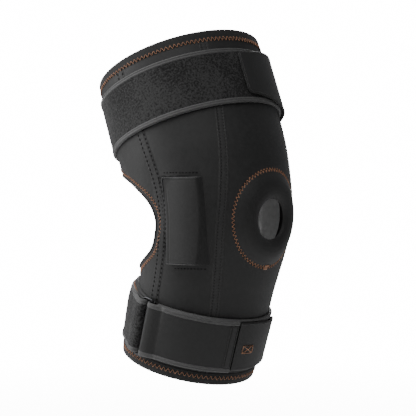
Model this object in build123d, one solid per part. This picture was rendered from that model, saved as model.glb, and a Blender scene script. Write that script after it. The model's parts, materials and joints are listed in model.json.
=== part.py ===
"""Hinged knee brace: a neoprene sleeve bent at the knee, with two straps and two side hinges.

Millimetres. +Z is up and the front of the knee faces -Y. The origin is the knee centre:
the point on the hinge axis midway between the two side hinges. Azimuths run round the leg
from the front centre towards -X, the side that carries the strap ring.
"""

from build123d import *
from math import cos, pi, radians, sin
import os

os.makedirs("parts", exist_ok=True)

# The leg line that the sleeve follows
THIGH_TILT = 20.0           # the thigh leans back by this much, degrees
SHIN_TILT = 15.0            # the ankle end leans back by this much, degrees
BEND_RADIUS = 156.0         # bend of the leg line round the knee
AXIS_SETBACK = 18.0         # the leg line runs this far behind the hinge axis
THIGH_LENGTH = 88.0         # straight stretch above the bend
SHIN_LENGTH = 88.3          # straight stretch below the bend

# Sleeve
SLEEVE_THICK = 4.0
THIGH_LOW_R = 73.0
THIGH_TOP_R = 74.0
SHIN_TOP_R = 62.0
SHIN_LOW_R = 59.5
# Sections of the knee stretch: angle along the bend, outer radius
KNEE_SECTIONS = (
    (-SHIN_TILT, SHIN_TOP_R), (-9.0, 64.6), (-3.8, 68.6), (2.0, 70.5), (10.0, 71.4),
    (THIGH_TILT, THIGH_LOW_R),
)
HEM_LENGTH = 16.0
GAP = 0.3                   # between neighbouring soft pieces
FRONT_SEAM = 40.0           # azimuth of the front seams, degrees
REAR_SEAM = 88.0            # azimuth of the rear seams, degrees
REAR_PANEL_START = 21.5     # the firm part of the rear thigh panel starts here
FLAP_START = -29.5          # the firm part of the calf flap starts here

# Opening behind the knee: its edge in side view as (y, z), from above round the nose
POPLITEAL_EDGE = (
    (180.0, 42.0), (105.0, 40.5), (76.0, 37.0), (57.0, 32.3), (45.0, 26.8), (33.0, 19.5),
    (24.5, 10.0), (20.0, -3.0), (23.0, -16.5), (30.0, -26.0), (41.0, -33.0), (56.0, -39.5),
    (78.0, -43.5), (105.0, -45.0), (180.0, -45.0),
)

# Kneecap opening and its padded ring
PATELLA_HOLE_R = 18.3
BUTTRESS_R = 41.0
BUTTRESS_THICK = 4.0

# Side hinges, from the leg outwards
HINGE_X = 62.0              # inner face of the hinge stack
RIVET_HEAD = 0.6
ARM_THICK = 1.2
WASHER_THICK = 0.3
RUNNING = 0.05              # clearance between turning faces
HINGE_HEAD_R = 10.5
ARM_WIDTH = 10.0
ARM_REACH = 33.0
ARM_LEAN = 10.0
RIVET_R = 2.5
RIVET_HEAD_R = 5.0
WASHER_R = 5.6
STOP_R = 7.8                # stop pin's distance from the hinge axis
STOP_PIN_R = 1.1
SLOT_ROOM = 0.2             # clearance round the stop pin
SLOT_OVERRUN = 1.0          # the slot ends this far past each limit, degrees
SLOT_POINTS = 13            # corners of the wedge that cuts the slot
EXTENSION = 35.0            # from rest to the straight leg, degrees
FLEXION = 50.0              # from rest to the most bent, degrees
STOP_PIN_ANGLE = 205.0      # where the stop pin sits at rest, degrees in the side view

# Flats that the hinges lie on
FLAT_X = 67.3               # where the flat is deepest
FLAT_CURVE_R = 250.0        # the flat is a shallow hollow of this radius

# Hinge pockets
POCKET_FRONT = -24.5        # the right pocket's front edge
LEFT_POCKET_FRONT = -13.0   # the left pocket is narrower
POCKET_REAR = 12.5
POCKET_Z = -1.0             # the pocket's middle
POCKET_HEIGHT = 73.0
POCKET_WALL = 1.2
POCKET_ROOM = 0.3
POCKET_DEPTH = 12.0         # from the inner face of the hinge stack inwards
POCKET_BEVEL = 1.5          # along the rear edge
POCKET_FLAT = -11.0         # ahead of this the cover slopes down to its front edge
POCKET_SLOPE = 6.0          # how far it slopes down

# Straps
STRAP_THICK = 2.3
UPPER_STRAP_WIDTH = 48.5
UPPER_STRAP_LOW = 21.5      # lower edge, along the thigh line
UPPER_END_FROM = -100.0     # azimuths of the strap's outer end
UPPER_PEEL = -62.0          # azimuth of the line where the tab peels
UPPER_TAB_TO = 9.0
UPPER_TAB_WIDTH = 38.0
TAB_THICK = 1.5
HOOK_THICK = 0.9
LOWER_STRAP_WIDTH = 46.0
LOWER_STRAP_TOP = -30.0     # upper edge, along the shin line
LOWER_PEEL = 16.0
LOWER_TAB_TO = -47.0
LOWER_TAB_WIDTH = 44.0
SECOND_LAYER = 3.0          # the strap's outer layer starts this far off the sleeve
TAB_ROOM = 3.0              # gaps between the lower tab and the strap end that it turns over

# Wire ring of the lower strap
RING_AZIMUTH = 91.0
RING_WIDTH = 10.0           # between the centres of its two upright bars
RING_HEIGHT = 50.0
WIRE_R = 1.2
RING_STANDOFF = 4.75        # wire's centre above the sleeve
ANCHOR_LOOP_IN = 1.3
FOLD_LOOP_IN = 2.1
FOLD_START = 2.7            # the outer layer meets its loop this far from the bar
LOOP_OUT = 3.6
CORNER_R = 2.6

BIG = 400.0


def line_point(angle):
    """Point of the leg line's bend at an angle, positive up the thigh."""
    turn = radians(angle)
    return (0, AXIS_SETBACK + BEND_RADIUS * (1 - cos(turn)), BEND_RADIUS * sin(turn))


def section_plane(angle):
    """Plane square to the leg line at an angle of its bend, local +Y to the rear."""
    turn = radians(angle)
    return Plane(origin=line_point(angle), x_dir=(1, 0, 0), z_dir=(0, sin(turn), cos(turn)))


THIGH = section_plane(THIGH_TILT)
SHIN = section_plane(-SHIN_TILT)


def thigh_radius(height):
    """Sleeve's outer radius along the thigh line."""
    share = min(height / (THIGH_LENGTH - HEM_LENGTH), 1.0)
    return THIGH_LOW_R + share * (THIGH_TOP_R - THIGH_LOW_R)


def shin_radius(height):
    """Sleeve's outer radius along the shin line, for heights below zero."""
    share = min(-height / (SHIN_LENGTH - HEM_LENGTH), 1.0)
    return SHIN_TOP_R + share * (SHIN_LOW_R - SHIN_TOP_R)


def arc_shell(low, high, low_in, high_in, thick, az_from, az_to):
    """Conical shell round Z from low to high, over a range of azimuths."""
    outline = Polyline(
        (low_in, 0, low),
        (low_in + thick, 0, low),
        (high_in + thick, 0, high),
        (high_in, 0, high),
        close=True,
    )
    shell = revolve(make_face(outline), Axis.Z, revolution_arc=az_to - az_from)
    return Rot(0, 0, 270 - az_to) * shell


def thigh_shell(low, high, lift, thick, az_from, az_to):
    """Shell on the thigh line, lifted off the sleeve's outer face."""
    r_low = thigh_radius(low) + lift
    r_high = thigh_radius(high) + lift
    return THIGH.location * arc_shell(low, high, r_low, r_high, thick, az_from, az_to)


def shin_shell(low, high, lift, thick, az_from, az_to):
    """Shell on the shin line, lifted off the sleeve's outer face."""
    r_low = shin_radius(low) + lift
    r_high = shin_radius(high) + lift
    return SHIN.location * arc_shell(low, high, r_low, r_high, thick, az_from, az_to)


def knee_solid(inset):
    """Solid bent tube of the knee stretch, its outer face moved in by inset."""
    faces = [section_plane(a).location * Circle(r - inset) for a, r in KNEE_SECTIONS]
    return loft([f.face() for f in faces])


def hinge_recess(inset, grow):
    """Shapes that press the sleeve flat at its sides, and flatter under the two hinges."""
    block = Box(BIG, POCKET_REAR - POCKET_FRONT + 2 * grow, POCKET_HEIGHT + 2 * grow)
    block_y = (POCKET_FRONT + POCKET_REAR) / 2
    hollow = Sphere(FLAT_CURVE_R + inset)
    block_x = HINGE_X - GAP - inset + BIG / 2
    hollow_x = FLAT_X + FLAT_CURVE_R
    blocks = [Pos(side * block_x, block_y, POCKET_Z) * block for side in (-1, 1)]
    return blocks + [Pos(side * hollow_x, 0, 0) * hollow for side in (-1, 1)]


def popliteal_cut():
    """Round-nosed opening behind the knee, right across the leg."""
    edge = Spline(*POPLITEAL_EDGE)
    outline = make_face(edge + Line(edge @ 1, edge @ 0))
    return Pos(-BIG / 2, 0, 0) * extrude(side_face(outline), BIG, dir=(1, 0, 0))


def knee_shell():
    """Knee stretch of the sleeve with its hinge flats and both openings."""
    outer = knee_solid(0) - hinge_recess(0, GAP)
    inner = knee_solid(SLEEVE_THICK) - hinge_recess(SLEEVE_THICK, SLEEVE_THICK)
    return trim_knee(outer - inner) - popliteal_cut() - patella_bore(PATELLA_HOLE_R)


def trim_knee(shape):
    """Takes half a gap off each end of the knee stretch."""
    for plane, side in ((THIGH, 1), (SHIN, -1)):
        shape -= plane.location * Pos(0, 0, side * (BIG / 2 - GAP)) * Box(BIG, BIG, BIG)
    return shape


def patella_bore(radius):
    """Cylinder through the front wall, in line with the kneecap."""
    return Pos(0, -BIG / 2, 0) * Rot(90, 0, 0) * Cylinder(radius, BIG)


def front_wedge(grow):
    """Tapering block that holds the front panel's share of the knee stretch."""
    top = (THIGH_LOW_R - SLEEVE_THICK / 2) * sin(radians(FRONT_SEAM)) + grow
    low = (SHIN_TOP_R - SLEEVE_THICK / 2) * sin(radians(FRONT_SEAM)) + grow
    top_z = THIGH.origin.Z
    low_z = SHIN.origin.Z
    slope = (top - low) / (top_z - low_z)
    reach = BIG / 4
    top += slope * reach
    low -= slope * reach
    outline = Polyline(
        (-low, 0, low_z - reach), (low, 0, low_z - reach),
        (top, 0, top_z + reach), (-top, 0, top_z + reach), close=True,
    )
    return Pos(0, AXIS_SETBACK, 0) * extrude(make_face(outline), BIG, dir=(0, -1, 0))


def half_space(side):
    """Everything on one side of the X = 0 plane."""
    return Pos(side * BIG / 2, 0, 0) * Box(BIG, BIG, BIG)


def knee_panels():
    """Front, right and left panels of the knee stretch."""
    shell = knee_shell()
    sides = shell - front_wedge(GAP)
    return {
        "knee_front_panel": shell & front_wedge(0),
        "knee_right_panel": sides & half_space(-1),
        "knee_left_panel": sides & half_space(1),
    }


def patella_buttress():
    """Padded ring sewn inside the front panel round the kneecap opening."""
    outside = SLEEVE_THICK + GAP
    layer = knee_solid(outside) - knee_solid(outside + BUTTRESS_THICK)
    return layer & (patella_bore(BUTTRESS_R) - patella_bore(PATELLA_HOLE_R))


def thigh_panels():
    """Firm panels of the thigh stretch, its rear strip and its hem."""
    top = THIGH_LENGTH - HEM_LENGTH - GAP
    edge = GAP / THIGH_LOW_R * 180 / pi
    wall = SLEEVE_THICK
    parts = {
        "thigh_front_panel": thigh_shell(0, top, -wall, wall, -FRONT_SEAM, FRONT_SEAM),
        "thigh_right_panel": thigh_shell(0, top, -wall, wall, FRONT_SEAM + edge, REAR_SEAM),
        "thigh_left_panel": thigh_shell(0, top, -wall, wall, -REAR_SEAM, -FRONT_SEAM - edge),
    }
    rear_from = REAR_SEAM + edge
    rear_to = 360 - rear_from
    start = REAR_PANEL_START
    strip = thigh_shell(0, start - GAP, -wall, wall, rear_from, rear_to)
    parts["thigh_rear_edge"] = strip - popliteal_cut()
    parts["thigh_rear_panel"] = thigh_shell(start, top, -wall, wall, rear_from, rear_to)
    hem_low = THIGH_LENGTH - HEM_LENGTH
    parts["thigh_hem"] = thigh_shell(hem_low, THIGH_LENGTH, -wall, wall, 0, 360)
    return parts


def shin_panels():
    """Firm panels of the shin stretch, the calf flap and the hem."""
    low = -(SHIN_LENGTH - HEM_LENGTH - GAP)
    edge = GAP / SHIN_TOP_R * 180 / pi
    wall = SLEEVE_THICK
    parts = {
        "shin_front_panel": shin_shell(low, 0, -wall, wall, -FRONT_SEAM, FRONT_SEAM),
        "shin_right_panel": shin_shell(low, 0, -wall, wall, FRONT_SEAM + edge, REAR_SEAM),
        "shin_left_panel": shin_shell(low, 0, -wall, wall, -REAR_SEAM, -FRONT_SEAM - edge),
    }
    rear_from = REAR_SEAM + edge
    rear_to = 360 - rear_from
    strip = shin_shell(FLAP_START + GAP, 0, -wall, wall, rear_from, rear_to)
    parts["calf_flap_edge"] = strip - popliteal_cut()
    parts["calf_flap"] = shin_shell(low, FLAP_START, -wall, wall, rear_from, rear_to)
    hem_top = -(SHIN_LENGTH - HEM_LENGTH)
    parts["shin_hem"] = shin_shell(-SHIN_LENGTH, hem_top, -wall, wall, 0, 360)
    return parts


def plate(outline_face, near, thick, side):
    """Extrudes a side-view face, drawn as (y, z), between two distances from X = 0."""
    low = side * near
    high = side * (near + thick)
    start = min(low, high)
    return Pos(start, 0, 0) * extrude(outline_face, thick, dir=(1, 0, 0))


def side_face(shape):
    """Turns a flat shape so that its X and Y become the world's Y and Z."""
    return Plane.YZ.location * shape


def arm_face(up):
    """Side view of a hinge arm: a round head and a blade with a round end."""
    lean = -ARM_LEAN * up
    blade_length = ARM_REACH - ARM_WIDTH / 2
    blade = Pos(0, up * blade_length / 2) * Rectangle(ARM_WIDTH, blade_length)
    tip = Pos(0, up * blade_length) * Circle(ARM_WIDTH / 2)
    return Circle(HINGE_HEAD_R) + Rot(0, 0, lean) * (blade + tip) - Circle(RIVET_R + RUNNING)


def stop_slot():
    """Curved slot that the stop pin runs in, as wide as the travel."""
    start = STOP_PIN_ANGLE - FLEXION - SLOT_OVERRUN
    travel = EXTENSION + FLEXION + 2 * SLOT_OVERRUN
    slot_r = STOP_PIN_R + SLOT_ROOM
    spots = [start + travel * i / (SLOT_POINTS - 1) for i in range(SLOT_POINTS)]
    arc = Circle(STOP_R + slot_r) - Circle(STOP_R - slot_r)
    wedge = [(0, 0)] + [(ARM_REACH * cos(radians(a)), ARM_REACH * sin(radians(a))) for a in spots]
    ends = [
        Pos(STOP_R * cos(radians(a)), STOP_R * sin(radians(a))) * Circle(slot_r)
        for a in (spots[0], spots[-1])
    ]
    return arc & make_face(Polyline(*wedge, close=True)), ends


def hinge(name, side):
    """Single-axis side hinge: two arms, a rivet, a washer and a stop pin."""
    pin_y = STOP_R * cos(radians(STOP_PIN_ANGLE))
    pin_z = STOP_R * sin(radians(STOP_PIN_ANGLE))
    inner_x = HINGE_X + RIVET_HEAD + RUNNING
    washer_x = inner_x + ARM_THICK + RUNNING
    outer_x = washer_x + WASHER_THICK + RUNNING
    head_x = outer_x + ARM_THICK + RUNNING
    slot, slot_ends = stop_slot()
    shin_face = arm_face(-1) - slot - slot_ends[0] - slot_ends[1]
    pin_hole = Pos(pin_y, pin_z) * Circle(STOP_PIN_R)
    washer = Circle(WASHER_R) - Circle(RIVET_R + RUNNING)
    shank_length = head_x - HINGE_X
    rivet = plate(side_face(Circle(RIVET_R)), HINGE_X, shank_length, side)
    for x in (HINGE_X, head_x):
        rivet += plate(side_face(Circle(RIVET_HEAD_R)), x, RIVET_HEAD, side)
    pin_length = outer_x + ARM_THICK - inner_x
    return {
        name + "_hinge_thigh_arm": plate(side_face(arm_face(1) - pin_hole), outer_x, ARM_THICK, side),
        name + "_hinge_shin_arm": plate(side_face(shin_face), inner_x, ARM_THICK, side),
        name + "_hinge_rivet": rivet,
        name + "_hinge_washer": plate(side_face(washer), washer_x, WASHER_THICK, side),
        name + "_hinge_stop_pin": plate(side_face(pin_hole), inner_x, pin_length, side),
    }


def pocket_block(side, top_x, inset):
    """Block over a hinge that slopes down to its front edge, drawn in by inset."""
    front = (POCKET_FRONT if side < 0 else LEFT_POCKET_FRONT) + inset
    rear = POCKET_REAR - inset
    height = POCKET_HEIGHT - 2 * inset
    base_x = HINGE_X - POCKET_DEPTH
    section = [
        (base_x, front), (top_x - POCKET_SLOPE, front), (top_x, POCKET_FLAT),
        (top_x, rear - POCKET_BEVEL), (top_x - POCKET_BEVEL, rear), (base_x, rear),
    ]
    outline = Polyline(*[(side * x, y) for x, y in section], close=True)
    return Pos(0, 0, POCKET_Z - height / 2) * extrude(make_face(outline), height, dir=(0, 0, 1))


def hinge_pocket(side):
    """Sewn cover over a hinge: a shallow tray open towards the leg."""
    stack = 2 * RIVET_HEAD + 2 * ARM_THICK + WASHER_THICK + 4 * RUNNING
    room_x = HINGE_X + stack + POCKET_ROOM
    outer_x = room_x + POCKET_WALL
    tray = pocket_block(side, outer_x, 0)
    room = pocket_block(side, room_x, POCKET_WALL)
    sleeve = knee_solid(-GAP) - hinge_recess(-GAP / 2, 2 * GAP)
    return tray - room - sleeve


def upper_strap():
    """Strap round the thigh, its outer end and the tab that grips it."""
    low = UPPER_STRAP_LOW
    high = low + UPPER_STRAP_WIDTH
    edge = GAP / THIGH_TOP_R * 180 / pi
    tab_low = (low + high - UPPER_TAB_WIDTH) / 2
    tab_high = tab_low + UPPER_TAB_WIDTH
    tab_from = UPPER_PEEL + edge
    second = SECOND_LAYER
    tab_lift = second + HOOK_THICK + RUNNING
    return {
        "upper_strap": thigh_shell(low, high, GAP, STRAP_THICK, 0, 360),
        "upper_strap_end": thigh_shell(low, high, second, STRAP_THICK, UPPER_END_FROM, UPPER_PEEL),
        "upper_strap_hook": thigh_shell(
            tab_low, tab_high, second, HOOK_THICK, tab_from, UPPER_TAB_TO
        ),
        "upper_strap_tab": thigh_shell(
            tab_low, tab_high, tab_lift, TAB_THICK, tab_from, UPPER_TAB_TO
        ),
    }


def ring_plane():
    """Plane of the wire ring: local X to the front, local Y up the shin."""
    turn = radians(RING_AZIMUTH)
    middle = LOWER_STRAP_TOP - LOWER_STRAP_WIDTH / 2
    reach = shin_radius(middle) + RING_STANDOFF
    spot = SHIN.from_local_coords(Vector(-reach * sin(turn), -reach * cos(turn), middle))
    outward = SHIN.x_dir * -sin(turn) - SHIN.y_dir * cos(turn)
    forward = SHIN.z_dir.cross(outward)
    return Plane(origin=spot, x_dir=forward, z_dir=outward)


def strap_ring():
    """Rectangular wire ring with round corners."""
    plane = ring_plane()
    path = RectangleRounded(RING_WIDTH, RING_HEIGHT, CORNER_R).face().outer_wire()
    start = path @ 0
    section = Plane(origin=start, z_dir=path % 0) * Circle(WIRE_R)
    return plane.location * sweep(section, path=path)


def ring_loop(offset, inner_r):
    """Strap turned round one upright bar of the ring."""
    loop = Cylinder(LOOP_OUT, LOWER_STRAP_WIDTH) - Cylinder(inner_r, LOWER_STRAP_WIDTH)
    return ring_plane().location * Pos(offset, 0, 0) * Rot(90, 0, 0) * loop


def lower_strap():
    """Strap round the calf, turned back through the ring, with its tab."""
    high = LOWER_STRAP_TOP
    low = high - LOWER_STRAP_WIDTH
    half_ring = RING_WIDTH / 2 / SHIN_LOW_R * 180 / pi
    loop_turn = (LOOP_OUT + 2 * GAP) / SHIN_LOW_R * 180 / pi
    edge = GAP / SHIN_LOW_R * 180 / pi
    wrap_from = RING_AZIMUTH + half_ring
    wrap_to = 360 + RING_AZIMUTH - half_ring - loop_turn
    bar_hole = ring_plane().location * Pos(-RING_WIDTH / 2, 0, 0) * Rot(90, 0, 0) * Cylinder(
        ANCHOR_LOOP_IN, BIG
    )
    wrap = shin_shell(low, high, GAP, STRAP_THICK, wrap_from, wrap_to) - bar_hole
    fold_turn = FOLD_START / SHIN_LOW_R * 180 / pi
    fold_from = RING_AZIMUTH - half_ring - fold_turn
    outer = shin_shell(low, high, SECOND_LAYER, STRAP_THICK, LOWER_PEEL + edge, fold_from)
    fold_hole = ring_plane().location * Pos(RING_WIDTH / 2, 0, 0) * Rot(90, 0, 0) * Cylinder(
        FOLD_LOOP_IN, BIG
    )
    tab_low = (low + high - LOWER_TAB_WIDTH) / 2
    tab_high = tab_low + LOWER_TAB_WIDTH
    tab_lift = SECOND_LAYER + HOOK_THICK + RUNNING
    tab_end = LOWER_PEEL - TAB_ROOM * edge
    return {
        "lower_strap": wrap + ring_loop(-RING_WIDTH / 2, ANCHOR_LOOP_IN),
        "lower_strap_return": outer - fold_hole + ring_loop(RING_WIDTH / 2, FOLD_LOOP_IN),
        "lower_strap_ring": strap_ring(),
        "lower_strap_hook": shin_shell(
            tab_low, tab_high, SECOND_LAYER, HOOK_THICK, LOWER_TAB_TO, tab_end
        ),
        "lower_strap_tab": shin_shell(
            tab_low, tab_high, tab_lift, TAB_THICK, LOWER_TAB_TO, tab_end
        ),
    }


def main():
    """Builds every node and writes one STEP file for each."""
    parts = {}
    parts.update(knee_panels())
    parts["patella_buttress"] = patella_buttress()
    parts.update(thigh_panels())
    parts.update(shin_panels())
    for name, side in (("right", -1), ("left", 1)):
        parts.update(hinge(name, side))
        parts[name + "_hinge_pocket"] = hinge_pocket(side)
    parts.update(upper_strap())
    parts.update(lower_strap())
    for name, shape in parts.items():
        export_step(shape, f"parts/{name}.step")


main()
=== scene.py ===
import json
from math import atan2, cos, pi, radians, sin

import bmesh
import bpy
import numpy as np
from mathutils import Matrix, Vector, noise
from numpy import concatenate, linspace


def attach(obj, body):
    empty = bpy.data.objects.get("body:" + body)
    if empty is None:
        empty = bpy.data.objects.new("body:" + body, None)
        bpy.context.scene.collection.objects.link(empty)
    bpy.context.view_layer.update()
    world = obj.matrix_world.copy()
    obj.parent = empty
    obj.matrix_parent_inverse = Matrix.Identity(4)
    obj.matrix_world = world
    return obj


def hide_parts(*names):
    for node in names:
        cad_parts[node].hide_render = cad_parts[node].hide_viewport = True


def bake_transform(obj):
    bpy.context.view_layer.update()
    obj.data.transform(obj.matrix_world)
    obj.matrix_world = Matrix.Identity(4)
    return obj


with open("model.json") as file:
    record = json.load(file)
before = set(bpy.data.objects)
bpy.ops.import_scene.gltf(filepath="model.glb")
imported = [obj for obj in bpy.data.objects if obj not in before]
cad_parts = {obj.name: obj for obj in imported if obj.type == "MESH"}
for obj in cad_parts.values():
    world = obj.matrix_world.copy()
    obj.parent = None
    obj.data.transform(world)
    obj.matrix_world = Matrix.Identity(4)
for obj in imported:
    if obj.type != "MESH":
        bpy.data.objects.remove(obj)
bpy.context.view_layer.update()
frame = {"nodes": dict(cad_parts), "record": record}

MM = 0.001
MOUNTS = {m["name"]: m for m in frame["record"]["mounts"]}
BEND = 156.0                # radius of the leg line's bend at the knee


def cuff(name, way):
    """Tilt of a cuff's line, the leg line's setback, and how far along it the rim is."""
    mount = MOUNTS[name]
    spot = np.array(mount["pos_m"][1:]) / MM
    axis = way * np.array(mount["axis"][1:])
    tilt = atan2(axis[0], axis[1])
    run = (BEND * sin(tilt) - spot[1]) / axis[1]
    setback = spot[0] + run * axis[0] - BEND * (1 - cos(tilt))
    rim = BEND * tilt + way * (abs(run) + mount["dims"]["length_mm"] / 2)
    return tilt, setback, rim


THIGH_TILT, SETBACK, S_TOP = cuff("thigh_cuff", 1)
SHIN_TILT, _, S_LOW = cuff("calf_cuff", -1)
CENTRE_Y = SETBACK + BEND
THIGH_R = MOUNTS["thigh_cuff"]["dims"]["r_mm"] + 4.0
SHIN_R = MOUNTS["calf_cuff"]["dims"]["r_mm"] + 4.0
KNEE_R = 70.4
WALL = 4.0
PANEL_TOP, PANEL_LOW = S_TOP - 4, S_LOW + 4     # the panels end inside the hems

# Lengths along the leg line in millimetres and azimuths from the front in degrees, as on the
# CAD parts that these pieces replace
UPPER_STRAP = (76.0, 124.4)
LOWER_STRAP = (-116.8, -70.9)
UPPER_MID, LOWER_MID = sum(UPPER_STRAP) / 2, sum(LOWER_STRAP) / 2
STRAP_LIFT, OVER_LIFT = 1.45, 4.2       # a strap on the sleeve, and one on another strap
UPPER_PEEL, UPPER_END = -62.0, 9.0
LOWER_PEEL, LOWER_END = 16.0, -47.0
TAB_HALF, TAB_LIFT = 19.4, 4.75
RING_AZ = 91.0
RING_BAR = 5.0
RING_LIFT = 4.75
FOLD_R = 3.05
HOLE_R = 17.3
STITCH_R = 41.8
HEM_WIDE = 9.0
RIM_TILT, RIM_HIGH_AZ = 1.6, -42.0
WAIST_S, WAIST_WIDE, WAIST_IN = 60.5, 12.5, 5.0     # the calf, drawn in under the opening
POCKET = (-24.5, 12.5, -37.5, 35.5)     # front, rear, low and high edges
LEFT_FRONT = -13.0                      # the left pocket is narrower
POCKET_X, DENT_X = 67.6, 61.7
WEAVE, WEAVE_HALF = 48, 34.0            # the front panel's square round the opening
POPLITEAL_EDGE = np.array((
    (180.0, 42.0), (105.0, 40.5), (76.0, 37.0), (57.0, 32.3), (45.0, 26.8), (33.0, 19.5),
    (24.5, 10.0), (20.0, -3.0), (23.0, -16.5), (30.0, -26.0), (41.0, -33.0), (56.0, -39.5),
    (78.0, -43.5), (105.0, -45.0), (180.0, -45.0),
))


# ---- shape of the sleeve
def smooth_line(keys, values, low, high, step, spread):
    """Function that follows a line through the keys, rounded over a distance."""
    at = np.arange(low, high + step, step)
    line = np.interp(at, keys, values)
    reach = int(3 * spread / step)
    kernel = np.exp(-0.5 * (np.arange(-reach, reach + 1) * step / spread) ** 2)
    padded = np.pad(line, reach, mode="reflect", reflect_type="odd")
    smooth = np.convolve(padded, kernel / kernel.sum(), "valid")
    return lambda place: np.interp(place, at, smooth)


radius = smooth_line(
    (-130, -105, -75, -50, -36, -24, -12, 0, 14, 30, 50, 75, 110, 143),
    (SHIN_R - 0.5, 60.0, 61.2, 61.9, 63.2, 65.6, 68.6, KNEE_R, 71, 71.4, 73, THIGH_R, THIGH_R,
     73.8), -140, 150, 0.5, 5.0)
pad = smooth_line(
    (0, 16.6, 17.4, 18.4, 20.5, 24, 28, 32, 36, 39, 41, STITCH_R, 42.8, 44.5, 200),
    (-2.6, -2.6, -2.2, -0.2, 1.5, 2.9, 3.4, 3.1, 2.0, 1.0, 0.3, -0.5, 0.1, 0, 0),
    0, 200, 0.1, 0.35)
front_az = smooth_line(
    (-130, -100, -60, -40, -17.5, 0, 15.7, 29.6, 48, 70, 100, 143),
    (35.5, 36, 37.4, 40.2, 43, 42.6, 40.4, 38.1, 35.2, 32.2, 31.3, 30.5), -140, 150, 1.0, 7.0)
rear_az = smooth_line(
    (-130, -60, -37, -22, -6, 15, 27, 45, 67, 123, 143),
    (88, 88.6, 88.9, 87.2, 85.2, 86.0, 87.0, 87.6, 88, 92.8, 93.4), -140, 150, 1.0, 7.0)


def degree(s):
    """Millimetres round the sleeve to a degree."""
    return radius(s) * pi / 180


def step(low, high, value):
    t = np.clip((value - low) / (high - low), 0, 1)
    return t * t * (3 - 2 * t)


def unit(vectors):
    return vectors / np.maximum(np.linalg.norm(vectors, axis=-1, keepdims=True), 1e-9)


def leg_line(s):
    """Turn, Y and Z of the leg line, s millimetres from the hinge level."""
    turn = np.clip(s / BEND, SHIN_TILT, THIGH_TILT)
    over = s - turn * BEND
    y = SETBACK + BEND * (1 - np.cos(turn)) + over * np.sin(turn)
    return turn, y, BEND * np.sin(turn) + over * np.cos(turn)


def side_to_leg(y, z):
    """Leg line length and forward offset of points seen from the side."""
    turn = np.clip(np.arctan2(z, CENTRE_Y - y), SHIN_TILT, THIGH_TILT)
    _, line_y, line_z = leg_line(turn * BEND)
    over = (y - line_y) * np.sin(turn) + (z - line_z) * np.cos(turn)
    forward = -(y - line_y) * np.cos(turn) + (z - line_z) * np.sin(turn)
    return turn * BEND + over, forward


def patella_rho(s, az):
    """Distance over the cloth from the middle of the kneecap opening."""
    wrapped = (az + 180) % 360 - 180
    across = KNEE_R * np.radians(wrapped)
    along = (BEND + KNEE_R * np.cos(np.radians(wrapped))) * s / BEND
    return np.hypot(across, along)


def patella_spot(rho, phi):
    """Leg line length and azimuth at a distance and direction from the opening."""
    az = rho * np.cos(phi) / KNEE_R
    return rho * np.sin(phi) * BEND / (BEND + KNEE_R * np.cos(az)), np.degrees(az)


def flat_limit(y, z):
    """How far out the sleeve's sides reach beside the hinges."""
    return 67.3 + (y * y + z * z) / 500.0


def press(x, limit):
    """Distance from the middle, held under a limit with a soft bend."""
    return np.minimum(x, limit - np.log1p(np.exp(-np.clip(x - limit, -40, 40))))


def pocket_share(y, z):
    """One inside a hinge pocket's outline, falling to zero at its edge."""
    front, rear, low, high = POCKET
    return (step(front, front + 4, y) * (1 - step(rear - 3, rear - 0.5, y))
            * step(low, low + 2.5, z) * (1 - step(high - 2.5, high, z)))


def skin(s, az, dented=True):
    """Points of the sleeve's outer face, in millimetres."""
    turn, y, z = leg_line(s)
    a = np.radians(az)
    lift = pad(patella_rho(s, az)) * (np.cos(a) > 0)
    behind = 180 - np.abs(180 - np.mod(az, 360))
    waist = np.exp(-((s + WAIST_S) / WAIST_WIDE) ** 2) * step(95, 128, behind)
    r = radius(s) + lift - WAIST_IN * waist
    x = -r * np.sin(a)
    py = y - r * np.cos(a) * np.cos(turn)
    pz = z + r * np.cos(a) * np.sin(turn)
    limit = flat_limit(py, pz)
    beside = (s > -60) & (s < 75) & (np.abs(x) - limit > -12)
    out = np.where(beside, press(np.abs(x), limit), np.abs(x))
    if dented:
        out = out + (DENT_X - out) * pocket_share(py, pz) * (out > DENT_X)
    return np.stack([np.sign(x) * out, py, pz], -1)


def place(s, az, lift=0.0, dented=False):
    """Points lifted off the sleeve's outer face along its normal."""
    s, az, lift = np.broadcast_arrays(np.asarray(s, float), np.asarray(az, float), lift)
    s = s + RIM_TILT * np.cos(np.radians(az - RIM_HIGH_AZ)) * step(S_TOP - 12, S_TOP - 2, s)
    d_s = skin(s + 0.6, az, dented) - skin(s - 0.6, az, dented)
    d_az = skin(s, az + 0.5, dented) - skin(s, az - 0.5, dented)
    normal = unit(np.cross(d_s, d_az))
    out = np.stack([-np.sin(np.radians(az)), -np.cos(np.radians(az)), np.zeros_like(az)], -1)
    normal *= np.where((normal * out).sum(-1, keepdims=True) < 0, -1, 1)
    return skin(s, az, dented) + normal * lift[..., None]


def cloth(s, az, lift=0.0):
    """Coordinates on the unbent leg, which the materials' patterns follow."""
    r = radius(s) + lift
    a = np.radians(az)
    return np.stack(np.broadcast_arrays(-r * np.sin(a), -r * np.cos(a), s), -1)


def walk(at, length, *paths):
    """Values of some paths at lengths along them."""
    return [np.interp(at, length, path) for path in paths]


def path_length(s, az):
    """Length along a path over the sleeve, up to each of its points."""
    steps = np.linalg.norm(np.diff(skin(s, az, False), axis=0), axis=1)
    return concatenate([[0], np.cumsum(steps)])


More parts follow.
